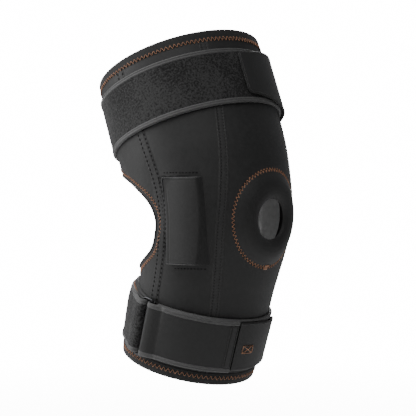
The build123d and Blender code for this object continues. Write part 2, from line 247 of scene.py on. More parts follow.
# ---- meshes
def make(name, points, faces, pattern, slots, face_slots, sharp=None):
    """Object from millimetre points, with its normals outward and smooth shading."""
    mesh = bpy.data.meshes.new(name)
    mesh.from_pydata((np.asarray(points) * MM).tolist(), [], [list(map(int, f)) for f in faces])
    spots = mesh.attributes.new("cloth", "FLOAT_VECTOR", "POINT")
    spots.data.foreach_set("vector", (np.asarray(pattern, np.float32) * MM).ravel())
    for slot in slots:
        mesh.materials.append(slot)
    mesh.polygons.foreach_set("material_index", np.asarray(face_slots, np.int32))
    work = bmesh.new()
    work.from_mesh(mesh)
    bmesh.ops.recalc_face_normals(work, faces=work.faces)
    for face in work.faces:
        face.smooth = True
    if sharp is not None:
        for edge in work.edges:
            if len(edge.link_faces) == 2 and edge.calc_face_angle(0) > sharp:
                edge.smooth = False
    work.to_mesh(mesh)
    work.free()
    obj = bpy.data.objects.new(name, mesh)
    bpy.context.scene.collection.objects.link(obj)
    return obj


def ring_faces(count, size, loop):
    """Quads of a tube of count rings with size points each."""
    i = np.arange(count if loop else count - 1)[:, None]
    j = np.arange(size)[None, :]
    k, n = (i + 1) % count, (j + 1) % size
    corners = np.broadcast_arrays(i * size + j, i * size + n, k * size + n, k * size + j)
    return np.stack(corners, -1).reshape(-1, 4)


def cap_faces(first, size):
    """Strip of quads across one end ring."""
    return [(first + j, first + j + 1, first + size - 2 - j, first + size - 1 - j)
            for j in range(size // 2 - 1)]


def tube(name, points, pattern, mats, loop=False, lining=False, sharp=None):
    """Tube through rings of points. With lining, each ring's second half is the inner face."""
    count, size = points.shape[:2]
    faces = ring_faces(count, size, loop).tolist()
    inside = (np.arange(size) >= size // 2) & lining
    slots = np.tile(inside, count if loop else count - 1).astype(int).tolist()
    if not loop:
        for first in (0, (count - 1) * size):
            caps = cap_faces(first, size)
            faces += caps
            slots += [0] * len(caps)
    return make(name, points.reshape(-1, 3), faces, pattern.reshape(-1, 3), mats, slots, sharp)


def join(name, objects):
    """One object from several that share their materials' order."""
    base, *others = objects
    work = bmesh.new()
    for obj in objects:
        work.from_mesh(obj.data)
    work.to_mesh(base.data)
    work.free()
    for other in others:
        bpy.data.objects.remove(other)
    base.name = base.data.name = name
    return base


def faced(outer, inner):
    """Closed rings from the rows of an outer face and an inner one."""
    return concatenate([outer, inner[:, ::-1]], 1)


def shell(name, s, az):
    """Lined panel over a grid of leg lengths and azimuths, pressed in at the hinge pockets."""
    points = faced(place(s, az, 0.0, True), place(s, az, -WALL, True))
    pattern = faced(cloth(s, az), cloth(s, az, -WALL))
    return tube(name, points, pattern, (NEOPRENE, LINING), lining=True, sharp=radians(50))


def along(s, az, lift, ds, dn, level=None):
    """Rings round a path over the sleeve: ds up the leg and dn off the cloth that it draws.

    Where level is one, the rings stand level with the wire ring, not with the sleeve's taper.
    """
    s, az, lift = np.broadcast_arrays(*(np.asarray(v, float) for v in (s, az, lift)))
    scale = degree(s)
    run, rise = np.gradient(az) * scale, np.gradient(lift)
    size = np.maximum(np.hypot(run, rise), 1e-9)
    ds = np.broadcast_to(ds, (len(az), np.shape(ds)[-1]))
    dn = np.broadcast_to(dn, ds.shape)
    ring_s = s[:, None] + ds
    ring_az = az[:, None] - (rise / size / scale)[:, None] * dn
    ring_lift = lift[:, None] + (run / size)[:, None] * dn
    if level is not None:
        ring_lift = ring_lift + level[:, None] * (radius(LOWER_MID) - radius(ring_s))
    return place(ring_s, ring_az, ring_lift), cloth(ring_s, az[:, None] + 0 * ring_s, ring_lift)


def both_faces(ds, dn):
    return concatenate([ds, ds[::-1]]), concatenate([dn, -dn[::-1]])


def flat_section(half_width, half_thick, count, roll):
    """Closed section of a strap: outer face from low to high, then back along the inner."""
    w = np.sin(linspace(-pi / 2, pi / 2, count)) * 0.35 + linspace(-1, 1, count) * 0.65
    edge = np.clip((np.abs(w) * half_width - (half_width - roll)) / roll, 0, 1)
    return both_faces(w * half_width, half_thick * np.sqrt(np.maximum(1 - edge ** 2, 0.04)))


BINDING_IN = np.array((0.0, 0.5, 1.15, 1.75, 2.15, 2.7, 3.35, 3.9, 4.3))
BINDING_UP = np.array((0.55, 1.35, 1.75, 1.6, 1.32, 1.62, 1.72, 1.42, 1.05))


def binding_section(way):
    """Two-ribbed edge binding, closed round a strap's edge and lying on both its faces."""
    return both_faces(-way * BINDING_IN + way * 0.5, BINDING_UP)


def wiggle(obj, strength, scale, seed):
    """Small shape noise for brushed cloth, along the vertex normals."""
    mesh = obj.data
    spots, normals = np.zeros((2, len(mesh.vertices) * 3))
    mesh.vertices.foreach_get("co", spots)
    mesh.vertices.foreach_get("normal", normals)
    spots, normals = spots.reshape(-1, 3), normals.reshape(-1, 3)
    size = np.array([noise.noise(Vector(v)) * 0.65 + noise.noise(Vector(v * 2.3)) * 0.35
                     for v in spots * scale + (seed, 2 * seed, -seed)])
    mesh.vertices.foreach_set("co", (spots + normals * size[:, None] * strength * MM).ravel())
    mesh.update()
    return obj


def headings(middle, loop):
    """Direction of a line of points at each of them."""
    if loop:
        return unit(np.roll(middle, -1, 0) - np.roll(middle, 1, 0))
    return unit(np.gradient(middle, axis=0))


def ovals(side, up, wide, high, count):
    """Ring of points round each place on a line, as offsets from it."""
    turn = linspace(0, 2 * pi, count, endpoint=False)[None, :, None]
    return wide * np.cos(turn) * side[:, None] + high * np.sin(turn) * up[:, None]


def tube_along(name, middle, up, pattern, mat, thick, loop=False):
    """Round tube along a line of points, with an up direction at each."""
    run = headings(middle, loop)
    side = unit(np.cross(run, up))
    ring = ovals(side, np.cross(side, run), 1, 1, 6)
    return tube(name, middle[:, None] + thick * ring, pattern[:, None] + 0.3 * ring, [mat], loop)


def thread(name, s, az, lift, mat, thick, loop=False):
    """Round thread that follows a path over the sleeve."""
    middle = place(s, az, lift)
    up = place(s, az, lift + 1.0) - middle
    return tube_along(name, middle, up, cloth(s, az), mat, thick, loop)


def zigzag(name, path_s, path_az, pitch, height, lift=0.3, thick=0.22, loop=True):
    """Copper stitching along a path: the thread dives at its turns and lies proud between."""
    length = path_length(path_s, path_az)
    count = max(int(round(length[-1] / pitch)), 2)
    t = np.arange(count * 10 + (0 if loop else 1)) / 10
    at = t * length[-1] / count
    s, az = walk(at, length, path_s, path_az)
    ahead, turn = np.subtract(walk(at + 0.5, length, path_s, path_az),
                              walk(at - 0.5, length, path_s, path_az))
    scale = degree(s)
    norm = np.maximum(np.hypot(ahead, turn * scale), 1e-9)
    wave = np.arcsin(0.96 * np.sin(2 * pi * t)) / 1.287
    s2 = s + wave * height / 2 * (turn * scale) / norm
    az2 = az - wave * height / 2 * ahead / norm / scale
    lift = lift - 0.5 * np.abs(wave) ** 6
    return fix(thread(name, s2, az2, lift, COPPER, thick, loop), "hem_binding")


def dashes(name, path_s, path_az, pitch, dash, thick, lift=0.12, offset=0.0):
    """Row of separate running stitches along a path, in black thread that is partly painted shade
    of the stitch holes.
    """
    length = path_length(path_s, path_az)
    bow = lift - 0.45 * np.abs(linspace(-1, 1, 5)) ** 3
    parts = []
    for i in range(int(length[-1] / pitch - offset)):
        at = (i + offset + linspace(0.5 - dash / 2, 0.5 + dash / 2, 5)) * pitch
        s, az = walk(at, length, path_s, path_az)
        parts.append(thread(f"{name}_{i}", s, az, bow, BLACK_THREAD_AND_PIT_SHADE, thick))
    return join(name, parts)


# ---- materials
def nodes_of(name):
    mat = bpy.data.materials.new(name)
    mat.use_nodes = True
    tree = mat.node_tree
    return mat, tree, tree.nodes["Principled BSDF"]


def link(tree, a, a_out, b, b_in):
    tree.links.new(a.outputs[a_out], b.inputs[b_in])


def add(tree, kind, **values):
    """Shader node with its settings, or its inputs of that name, filled in."""
    node = tree.nodes.new("ShaderNode" + kind)
    for key, value in values.items():
        if hasattr(node, key) and key not in node.inputs:
            setattr(node, key, value)
        else:
            node.inputs[key].default_value = value
    return node


def shade(tree, face, **values):
    """Fills in a shader's inputs with sockets or plain values."""
    for key, value in values.items():
        socket = face.inputs[key.replace("_", " ")]
        if isinstance(value, bpy.types.NodeSocket):
            tree.links.new(value, socket)
        else:
            socket.default_value = value


def math(tree, operation, *values):
    """Math node with sockets or numbers as inputs."""
    node = add(tree, "Math", operation=operation)
    for socket, value in zip(node.inputs, values):
        if isinstance(value, (int, float)):
            socket.default_value = value
        else:
            tree.links.new(value, socket)
    return node.outputs[0]


def leg_coordinates(tree):
    """Pattern vector, and its distances round and along the leg."""
    spot = add(tree, "Attribute", attribute_name="cloth")
    split = add(tree, "SeparateXYZ")
    link(tree, spot, "Vector", split, 0)
    turn = math(tree, "ARCTAN2", split.outputs[0], split.outputs[1])
    return spot.outputs["Vector"], math(tree, "MULTIPLY", turn, 0.066), split.outputs[2]


def noise_node(tree, vector, scale, detail=3.0, rough=0.6):
    node = add(tree, "TexNoise", Scale=scale, Detail=detail, Roughness=rough)
    tree.links.new(vector, node.inputs["Vector"])
    return node.outputs["Fac"]


def ramp(tree, value, low, high, a, b):
    """Colour from a to b as a value goes from low to high."""
    node = add(tree, "ValToRGB")
    for element, at, colour in zip(node.color_ramp.elements, (low, high), (a, b)):
        element.position = at
        element.color = (*colour, 1)
    tree.links.new(value, node.inputs[0])
    return node.outputs[0]


def waves(tree, value, pitch):
    """Rounded ribs of a given pitch in metres, from zero to one."""
    angle = math(tree, "MULTIPLY", value, 2 * pi / pitch)
    return math(tree, "MULTIPLY_ADD", math(tree, "SINE", angle), 0.5, 0.5)


def bump(tree, height, strength, distance, before=None):
    node = add(tree, "Bump", Strength=strength, Distance=distance)
    tree.links.new(height, node.inputs["Height"])
    if before is not None:
        tree.links.new(before, node.inputs["Normal"])
    return node.outputs["Normal"]


def fabric(name, tone, spread, rough=0.6, sheen=0.1, mottle=320.0, knit=(0.0007, 0.0009),
           knit_bump=0.3, fuzz=0.35, fuzz_depth=0.00025, crisp=0.15, shine=0.3):
    """Dark cloth: a fine knit, brushed fibres, worn high spots and a soft sheen."""
    mat, tree, face = nodes_of(name)
    vector, round_it, up_it = leg_coordinates(tree)
    low, high = (max(tone - spread, 0.0015),) * 3, (tone + spread,) * 3
    blotch = noise_node(tree, vector, mottle, 5.0, 0.65)
    broad = noise_node(tree, vector, 28.0, 2.0, 0.5)
    both = math(tree, "ADD", math(tree, "MULTIPLY", blotch, 0.75),
                math(tree, "MULTIPLY", broad, 0.25))
    columns = waves(tree, round_it, knit[0])
    shifted = math(tree, "ADD", up_it, math(tree, "MULTIPLY", columns, knit[1] / 3))
    rows = waves(tree, shifted, knit[1])
    weave = bump(tree, math(tree, "MULTIPLY", columns, rows), knit_bump, 0.00012)
    shade(tree, face, Base_Color=ramp(tree, both, 0.5 - crisp, 0.5 + crisp, low, high),
          Roughness=math(tree, "MULTIPLY_ADD", blotch, 0.25, rough - 0.12),
          Normal=bump(tree, blotch, fuzz, fuzz_depth, weave),
          Sheen_Weight=sheen, Sheen_Roughness=0.45, Sheen_Tint=(0.8, 0.8, 0.82, 1),
          Specular_IOR_Level=shine)
    return mat


def thread_material(name, dark, light, rough=0.5, sheen=0.1):
    """Twisted sewing thread."""
    mat, tree, face = nodes_of(name)
    vector, round_it, up_it = leg_coordinates(tree)
    twist = waves(tree, math(tree, "ADD", round_it, up_it), 0.0009)
    grain = noise_node(tree, vector, 700.0, 2.0, 0.5)
    both = math(tree, "MULTIPLY", math(tree, "ADD", twist, grain), 0.5)
    shade(tree, face, Base_Color=ramp(tree, both, 0.25, 0.75, dark, light), Roughness=rough,
          Normal=bump(tree, twist, 0.5, 0.00015), Sheen_Weight=sheen, Specular_IOR_Level=0.25)
    return mat


def metal(name, tone, rough, grain, metallic=1.0, brushed=0.0004):
    """Metal with fine tool marks and cloudy roughness."""
    mat, tree, face = nodes_of(name)
    spot = add(tree, "TexCoord")
    stretch = add(tree, "Mapping", Scale=(1, 1, 0.06))
    link(tree, spot, "Object", stretch, 0)
    marks = noise_node(tree, stretch.outputs[0], grain, 4.0, 0.6)
    cloud = noise_node(tree, spot.outputs["Object"], 60.0, 2.0, 0.5)
    dark = tuple(c * 0.85 for c in tone)
    shade(tree, face, Base_Color=ramp(tree, cloud, 0.3, 0.7, dark, tone), Metallic=metallic,
          Roughness=math(tree, "MULTIPLY_ADD", marks, 0.22, rough),
          Normal=bump(tree, marks, 0.12, brushed))
    return mat


NEOPRENE = fabric("neoprene_face", 0.0135, 0.003, mottle=260.0, fuzz=0.1)
LINING = fabric("lining", 0.09, 0.016, rough=0.8, sheen=0.3, mottle=300.0, knit_bump=0.5)
HEM = fabric("hem_cloth", 0.0115, 0.006, rough=0.78, sheen=0.12, mottle=620.0,
             knit=(0.0011, 0.0011), knit_bump=0.6, fuzz=0.5)
LOOP = fabric("loop_elastic", 0.0165, 0.0145, rough=0.9, mottle=640.0,
              knit=(0.0016, 0.0013), fuzz=1.0, fuzz_depth=0.0008, crisp=0.06)
SMOOTH = fabric("smooth_webbing", 0.0125, 0.0025, mottle=380.0, knit=(0.0012, 0.0008), fuzz=0.12)
# binding lighter grey than the straps: painted sheen of the satin binding
BINDING = fabric("elastic_binding_painted_sheen", 0.055, 0.006, sheen=0.2, mottle=500.0,
                 knit=(0.0009, 0.0006), knit_bump=0.6, fuzz=0.2)
POCKET_CLOTH = fabric("pocket_cloth", 0.013, 0.0035, rough=0.7, mottle=520.0,
                      knit=(0.0010, 0.0010), knit_bump=0.5, fuzz=0.25)
HOOK = fabric("hook_tape", 0.008, 0.004, rough=0.5, sheen=0.0, mottle=900.0,
              knit=(0.0014, 0.0014), knit_bump=1.0, fuzz=0.4)
# near-black foam: partly the foam's own colour, partly painted shade for the kneecap opening's
# deep inner wall and the front panel's cut edges
FOAM_PAINTED_SHADE = fabric("foam_ring_painted_shade", 0.003, 0.0012, rough=0.9, sheen=0.0, mottle=700.0, knit_bump=0.25,
              fuzz=0.6, shine=0.06)
# seam cloth lighter than the neoprene: partly painted highlight for the seam ridges catching
# light; the lower strap's sewn band takes it too
SEAM = fabric("seam_ridge_painted_highlight", 0.018, 0.004, sheen=0.12, mottle=420.0, knit_bump=0.4)
COPPER = thread_material("copper_thread", (0.15, 0.07, 0.04), (0.46, 0.225, 0.13))
# black thread, darker still: partly the thread's own black, partly painted shade of the stitch
# holes
BLACK_THREAD_AND_PIT_SHADE = thread_material("black_thread_and_pit_shade", (0.0012,) * 3, (0.005,) * 3, 0.8, 0.0)
GREY_THREAD = thread_material("grey_thread", (0.022,) * 3, (0.055, 0.055, 0.057), 0.45)
ALUMINIUM = metal("satin_aluminium", (0.6, 0.61, 0.63), 0.28, 900.0)
STEEL = metal("rivet_steel", (0.55, 0.55, 0.56), 0.18, 1200.0)
WIRE = metal("ring_wire_finish", (0.045, 0.045, 0.048), 0.22, 1500.0, brushed=0.0001)
NYLON = metal("washer_nylon_finish", (0.8, 0.8, 0.76), 0.4, 500.0, metallic=0.0)

# ---- sleeve pieces
SLEEVE_BEND = 46.0
POCKET_BEND = 24.0      # smaller bend value given to the pocket pieces, meant to keep them over both arms near the rivet


def fix(obj, slot, *nodes, body=None, bend=SLEEVE_BEND):
    """Hides the CAD nodes that a piece stands for, and hangs the piece on its body or bakes its
    transform. Its slot and bend are not used.
    """
    if nodes:
        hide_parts(*nodes)
    if body:
        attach(obj, body)
    else:
        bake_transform(obj)
    return obj


def front_panel():
    """Front panel, woven round the kneecap opening, as one mesh."""
    edge = linspace(-1, 1, WEAVE + 1)
    ones = np.ones(WEAVE)
    square = concatenate([np.stack(pair, 1) for pair in (
        (edge[:-1], ones), (ones, -edge[:-1]), (-edge[:-1], -ones), (-ones, edge[:-1]))])
    rim_s = square[:, 1] * WEAVE_HALF
    rim_az = square[:, 0] * front_az(rim_s)
    phi = np.arctan2(rim_s * (BEND + KNEE_R) / BEND, rim_az * KNEE_R * pi / 180)
    rho = concatenate([linspace(HOLE_R, 19.5, 8), linspace(20.3, 39, 20),
                          linspace(39.6, 44.5, 14)])
    rings = [patella_spot(r, phi) for r in rho]
    last_s, last_az = rings[-1]
    rings += [(last_s + (rim_s - last_s) * t, last_az + (rim_az - last_az) * t)
              for t in linspace(0, 1, 8)[1:]]
    s, az = ([np.array([r[k] for r in rings]).ravel()] for k in (0, 1))
    faces = [ring_faces(len(rings), 4 * WEAVE, False)]
    count = len(s[0])
    for low, high in ((WEAVE_HALF, PANEL_TOP), (PANEL_LOW, -WEAVE_HALF)):
        rows = linspace(low, high, int(abs(high - low) / 1.9) + 2)
        i, j = np.meshgrid(np.arange(len(rows) - 1), np.arange(WEAVE), indexing="ij")
        first = (count + i * (WEAVE + 1) + j).reshape(-1, 1)
        faces.append(first + (0, 1, WEAVE + 2, WEAVE + 1))
        s.append(np.repeat(rows, WEAVE + 1))
        az.append((edge * front_az(rows)[:, None]).ravel())
        count += len(s[-1])
    s, az, faces = concatenate(s), concatenate(az), concatenate(faces)
    spots, merged = np.unique(np.round(place(s, az), 2), axis=0, return_inverse=True)
    merged = merged.ravel()
    first_of = np.zeros(len(spots), int)
    first_of[merged] = np.arange(len(merged))
    return closed_panel("front_panel", s[first_of], az[first_of], merged[faces])


def closed_panel(name, s, az, faces):
    """Outer and inner faces of a panel joined along every open edge; the edge walls take the
    near-black foam colour, which is partly painted shade.
    """
    total = len(s)
    pairs = concatenate([faces[:, [k, (k + 1) % 4]] for k in range(4)])
    _, where, uses = np.unique(np.sort(pairs, 1), axis=0, return_index=True, return_counts=True)
    rim = pairs[where[uses == 1]]
    walls = concatenate([rim, rim[:, ::-1] + total], 1)
    return make(name, concatenate([place(s, az), place(s, az, -WALL)]),
                concatenate([faces, faces[:, ::-1] + total, walls]),
                concatenate([cloth(s, az), cloth(s, az, -WALL)]), (NEOPRENE, LINING, FOAM_PAINTED_SHADE),
                [0] * len(faces) + [1] * len(faces) + [2] * len(walls), radians(55))


def side_panel(name, side):
    rows = linspace(PANEL_LOW, PANEL_TOP, 190)[:, None]
    front, rear = side * front_az(rows), side * rear_az(rows)
    share = linspace(0, 1, 36)[None, :]
    return shell(name, rows + 0 * share, front + (rear - front) * share)


def popliteal_line():
    """Edge of the opening behind the knee on the right side, from top rear to low rear."""
    knots = POPLITEAL_EDGE
    fine = linspace(0, len(knots) - 1, 600)
    i = np.clip(fine.astype(int), 1, len(knots) - 3)
    f = (fine - i)[:, None]
    p0, p1, p2, p3 = knots[i - 1], knots[i], knots[i + 1], knots[i + 2]
    line = 0.5 * (2 * p1 + (p2 - p0) * f + (2 * p0 - 5 * p1 + 4 * p2 - p3) * f ** 2
                  + (3 * p1 - p0 - 3 * p2 + p3) * f ** 3)
    s, forward = side_to_leg(line[:, 0], line[:, 1])
    share = forward / radius(s)
    ok = np.where(share > -1)[0]
    s, share = s[ok[0]:ok[-1] + 1], share[ok[0]:ok[-1] + 1]
    s = concatenate([[s[0]], s, [s[-1]]])
    az = concatenate([[180.0], np.degrees(np.arccos(np.clip(share, -1, 1))), [180.0]])
    length = concatenate([[0], np.cumsum(np.hypot(np.diff(s), np.diff(az) * 1.2))])
    return walk(linspace(0, length[-1], 221), length, s, az)


EDGE_S, EDGE_AZ = popliteal_line()
NOSE = int(np.argmin(EDGE_AZ))
# Both sides of the opening, as a closed path
LOOP_S = concatenate([EDGE_S, EDGE_S[::-1][1:-1]])
LOOP_AZ = concatenate([EDGE_AZ, 360 - EDGE_AZ[::-1][1:-1]])


def rear_panel(name, upper):
    """Panel behind the rear seams, above or below the opening behind the knee."""
    part = slice(None, NOSE + 1) if upper else slice(NOSE, None)
    edge_s, edge_az = EDGE_S[part], EDGE_AZ[part]
    order = np.argsort(edge_az, kind="stable")
    edge_s, edge_az = edge_s[order], np.maximum.accumulate(edge_az[order])
    start = concatenate([np.full(5, edge_s[0]), edge_s])
    share = linspace(0, 1, 60)[:, None]
    s = start + ((PANEL_TOP if upper else PANEL_LOW) - start) * share
    seam = rear_az(s[:, :1])
    lead = seam + (edge_az[0] - seam) * linspace(0, 1, 6)[:5]
    az = concatenate([lead, np.repeat(edge_az[None, :], len(share), 0)], 1)
    s = concatenate([s, s[:, ::-1][:, 1:]], 1)
    az = concatenate([az, 360 - az[:, ::-1][:, 1:]], 1)
    return shell(name, s, az)


def hem(name, edge, way):
    """Folded hem over a rim of the sleeve; way is 1 at the thigh and -1 at the calf."""
    t = linspace(0, pi, 11)
    top = np.stack([way * 2.3 * np.sin(t), -WALL / 2 + (WALL / 2 + 0.55) * np.cos(t)], 1)
    outer = [(-way * (HEM_WIDE - d), h) for d, h in (
        (0, 0.05), (0.35, 0.4), (1.2, 0.55), (3, 0.5), (5, 0.6), (6.5, 0.55))]
    inner = [(-way * (HEM_WIDE - d), -WALL - h) for d, h in (
        (6.5, 0.55), (5, 0.55), (3, 0.5), (1.2, 0.5), (0.35, 0.35))]
    ring = concatenate([outer, top - [1.6 * (way > 0), 0], inner])
    az = linspace(0, 360, 260, endpoint=False)[:, None] + 0 * ring[:, 0]
    s, lift = edge + ring[:, 0] + 0 * az, ring[:, 1] + 0 * az
    return tube(name, place(s, az, lift), cloth(s, az, lift), [HEM], True)


def popliteal_binding():
    """Cloth folded over the edge of the opening behind the knee."""
    middle = place(LOOP_S, LOOP_AZ, -WALL / 2)
    up = place(LOOP_S, LOOP_AZ, 1.0) - place(LOOP_S, LOOP_AZ, 0.0)
    side = unit(np.cross(headings(middle, True), up))
    ring = ovals(side, up, 1.7, WALL / 2 + 0.55, 16)
    pattern = cloth(LOOP_S, LOOP_AZ)[:, None] + ring * 0.5
    return tube("popliteal_binding", middle[:, None] + ring, pattern, [HEM], True)


def inset_path(s, az, inward):
    """The opening's edge moved over the cloth, away from the opening."""
    ahead_s = np.roll(s, -2) - np.roll(s, 2)
    ahead_az = (np.roll(az, -2) - np.roll(az, 2)) * degree(s)
    norm = np.maximum(np.hypot(ahead_s, ahead_az), 1e-9)
    return s + inward * -ahead_az / norm, az + inward * ahead_s / norm / degree(s)


def foam_ring_painted_shade():
    """Padded ring behind the front panel round the kneecap opening; its near-black colour is
    partly the foam's own and partly painted shade on the opening's deep inner wall.
    """
    rho = np.array((17.5, 17.2, 17.4, 18.4, 21, 27, 34, 38, 40, 40.6, 40, 37, 30, 23, 19, 18))
    lift = np.array((-4.6, -5.6, -7.4, -8.3, -8.7, -8.8, -8.7, -8.3, -7.2, -5.6, -4.4, -4.2, -4.2,
                     -4.2, -4.2, -4.25))
    phi = linspace(0, 2 * pi, 120, endpoint=False)
    s, az = patella_spot(rho[None, :], phi[:, None])
    lift = np.broadcast_to(lift, s.shape)
    base = place(s, az, lift - pad(patella_rho(s, az)))
    return tube("patella_foam_ring", base, cloth(s, az, lift), [FOAM_PAINTED_SHADE], True)


fix(front_panel(), "neoprene", "thigh_front_panel", "knee_front_panel", "shin_front_panel")
for word, side in (("right", 1), ("left", -1)):
    fix(side_panel(f"{word}_side_panel", side), "neoprene", f"thigh_{word}_panel",
        f"knee_{word}_panel", f"shin_{word}_panel")
fix(rear_panel("rear_thigh_panel", True), "neoprene", "thigh_rear_panel", "thigh_rear_edge")
fix(rear_panel("rear_calf_panel", False), "neoprene", "calf_flap_edge")
fix(hem("top_hem", S_TOP, 1), "hem_binding", "thigh_hem")
fix(hem("bottom_hem", S_LOW, -1), "hem_binding", "shin_hem")
ROUND = linspace(0, 360, 721)[:-1]
zigzag("top_hem_stitching", np.full(720, S_TOP - 8.0), ROUND, 3.7, 3.4, lift=0.75)
zigzag("bottom_hem_stitching", np.full(720, S_LOW + 4.8), ROUND, 4.1, 3.3, lift=0.85)
fix(popliteal_binding(), "hem_binding")
zigzag("popliteal_stitching", *inset_path(LOOP_S, LOOP_AZ, 4.6), 3.1, 2.7)
fix(foam_ring_painted_shade(), "buttress_foam", "patella_buttress")
phi = linspace(0, 2 * pi, 361)[:-1] - pi / 2
zigzag("patella_stitching", *patella_spot(STITCH_R, phi), 3.4, 2.4)
phi = -pi / 2 + linspace(-0.06, 0.06, 9)
zigzag("patella_bartack", *patella_spot(STITCH_R, phi), 0.8, 3.4, thick=0.3, loop=False)

# ---- seams
SEAM_S = linspace(S_LOW + 5, S_TOP - 5, 560)


def seam_strip(name, seam_az, profile, mat, rhythm, pitch):
    """Raised seam along the leg; profile is (across, lift), closed by an underside."""
    scale = degree(SEAM_S)
    across, up = np.array(profile).T
    run_s, run_az = np.gradient(SEAM_S), np.gradient(seam_az) * scale
    norm = np.hypot(run_s, run_az)
    steps = np.hypot(np.diff(SEAM_S), np.diff(seam_az) * scale[1:])
    length = concatenate([[0], np.cumsum(steps)])
    beat = 1 + rhythm * np.cos(2 * pi * length / pitch)[:, None]
    s = SEAM_S[:, None] - (run_az / norm)[:, None] * across
    az = seam_az[:, None] + (run_s / norm / scale)[:, None] * across
    points = faced(place(s, az, up * beat), place(s, az, -0.6))
    pattern = faced(cloth(s, az), cloth(s, az, -0.6))
    return fix(tube(name, points, pattern, [mat]), "neoprene")


def seam_rows(name, seam_az, across, pitch, dash, thick, lift=0.12):
    """Two rows of stitches beside a seam's middle."""
    rows = [dashes(f"{name}_{k}", SEAM_S, seam_az + way * across / degree(SEAM_S), pitch, dash,
                   thick, lift, 0.5 * k) for k, way in enumerate((-1, 1))]
    return fix(join(name, rows), "neoprene")


def ridge(centre, half, height):
    return [(centre + half * v, height * np.sqrt(max(1 - v * v, 0)) + 0.06)
            for v in linspace(-1, 1, 5)]


TRIPLE = ([(-4.4, -0.1)] + ridge(-3.2, 0.8, 0.34) + ridge(0, 1.5, 0.12) + ridge(3.2, 0.8, 0.34)
          + [(4.4, -0.1)])
FLATLOCK = [(-4.6, -0.1), (-4.2, 0.2), (-3.6, 0.28), (-3.0, 0.02), (-2.4, 0.28), (-1.2, 0.34),
            (0, 0.2)]
FLATLOCK += [(-across, up) for across, up in FLATLOCK[-2::-1]]
for word, side in (("right", 1), ("left", -1)):
    front, rear = side * front_az(SEAM_S), side * rear_az(SEAM_S)
    # the front seams take the lighter seam cloth, partly painted highlight on their ridges
    seam_strip(f"{word}_front_seam", front, TRIPLE, SEAM, 0.3, 2.6)
    seam_strip(f"{word}_rear_seam", rear, FLATLOCK, NEOPRENE, 0.1, 3.3)
    # thick near-black dashes: partly black thread, partly painted shade of the stitch pits
    seam_rows(f"{word}_rear_seam_stitches", rear, 3.0, 3.9, 0.3, 0.8, lift=0.1)
    seam_rows(f"{word}_front_seam_stitches", front, 2.0, 2.6, 0.42, 0.26)


# ---- hinge pockets
def side_x(y, z):
    """How far out the undented sleeve is at a place in side view."""
    s, forward = side_to_leg(y, z)
    return press(np.sqrt(np.maximum(radius(s) ** 2 - forward ** 2, 1.0)), flat_limit(y, z))


def pocket_places(p, q, side):
    """Y and Z on a pocket's face; p runs from its front edge to its rear one, q upwards."""
    front, rear, low, high = POCKET
    if side < 0:
        front = front - 0.4 + 3.0 * (2 * q - 1) ** 2
        rear = rear - 3.4 * step(0.95, 0.45, q)
    else:
        front = LEFT_FRONT + 9.5 * step(0.36, 0.0, q)
        rear = rear + 2.0 * step(0.36, 0.0, q)
    return front + (rear - front) * p, low + (high - low) * q


def pocket_top(y, p):
    """Outer face of a pocket: bowed, and falling away to its front edge."""
    fall = np.clip((3.0 - y) / 27.5, 0, 1)
    return POCKET_X + 0.9 - 6.4 * fall ** 2.6 + 0.2 * np.sin(pi * p)


def pocket_cover(word, side):
    """Bowed cover of a hinge pocket, rolled over to the sleeve and grooved along its seams."""
    wide, tall = POCKET[1] - (POCKET[0] if side < 0 else LEFT_FRONT), POCKET[3] - POCKET[2]
    near = np.array((0, 0.12, 0.3, 0.6, 1.0, 1.5, 2.1, 2.8))
    p, q = (concatenate([near / size, linspace(3.6, size - 3.6, count) / size,
                            1 - near[::-1] / size]) for size, count in ((wide, 46), (tall, 70)))
    q, p = np.meshgrid(q, p, indexing="ij")
    y, z = pocket_places(p, q, side)
    to_edge = np.minimum(np.minimum(p, 1 - p) * wide, np.minimum(q, 1 - q) * tall)
    profile = np.sqrt(1 - (1 - np.clip(to_edge / 1.7, 0, 1)) ** 2)
    base = side_x(y, z) - 0.7
    from_rear = (1 - p) * wide
    top = pocket_top(y, p) - 0.45 * np.exp(-((from_rear - 4.6) / 0.55) ** 2)
    top = top - 0.35 * (1 - step(4.2, 5.4, from_rear))
    for from_end in (q * tall, (1 - q) * tall):
        top = top - 0.3 * np.exp(-((from_end - 3.0) / 0.5) ** 2)
    x = base + (np.maximum(top, base + 0.5) - base) * profile
    inner_x = np.minimum(np.maximum(x - 1.1, base - 0.3), x - 0.25)
    outer = np.stack([side * x, y, z], -1)
    inner = np.stack([side * inner_x, y + (0.5 - p) * 1.6, z + (0.5 - q) * 1.6], -1)
    points = faced(outer, inner)
    return tube(f"{word}_hinge_pocket_cover", points, points, [POCKET_CLOTH, LINING], lining=True,
                sharp=radians(60))


def pocket_piping_painted_highlight(word, side):
    """Fine grey piping along a pocket's top, rear and lower edges; its lighter grey is partly
    piping and partly a painted highlight on these edges.
    """
    t = linspace(0, 1, 60)
    p = concatenate([0.06 + 0.92 * t, np.full(60, 0.98), 0.98 - 0.92 * t])
    q = concatenate([np.full(60, 0.988), 0.988 - 0.976 * t, np.full(60, 0.012)])
    y, z = pocket_places(p, q, side)
    wall = np.maximum(pocket_top(y, p) - 0.55 - 0.35 * (p > 0.85), side_x(y, z) + 0.1)
    middle = np.stack([side * wall, y, z], -1)
    up = np.tile([side * 1.0, 0, 0], (len(p), 1))
    return tube_along(f"{word}_pocket_piping_painted_highlight", middle, up, middle, GREY_THREAD, 0.42)


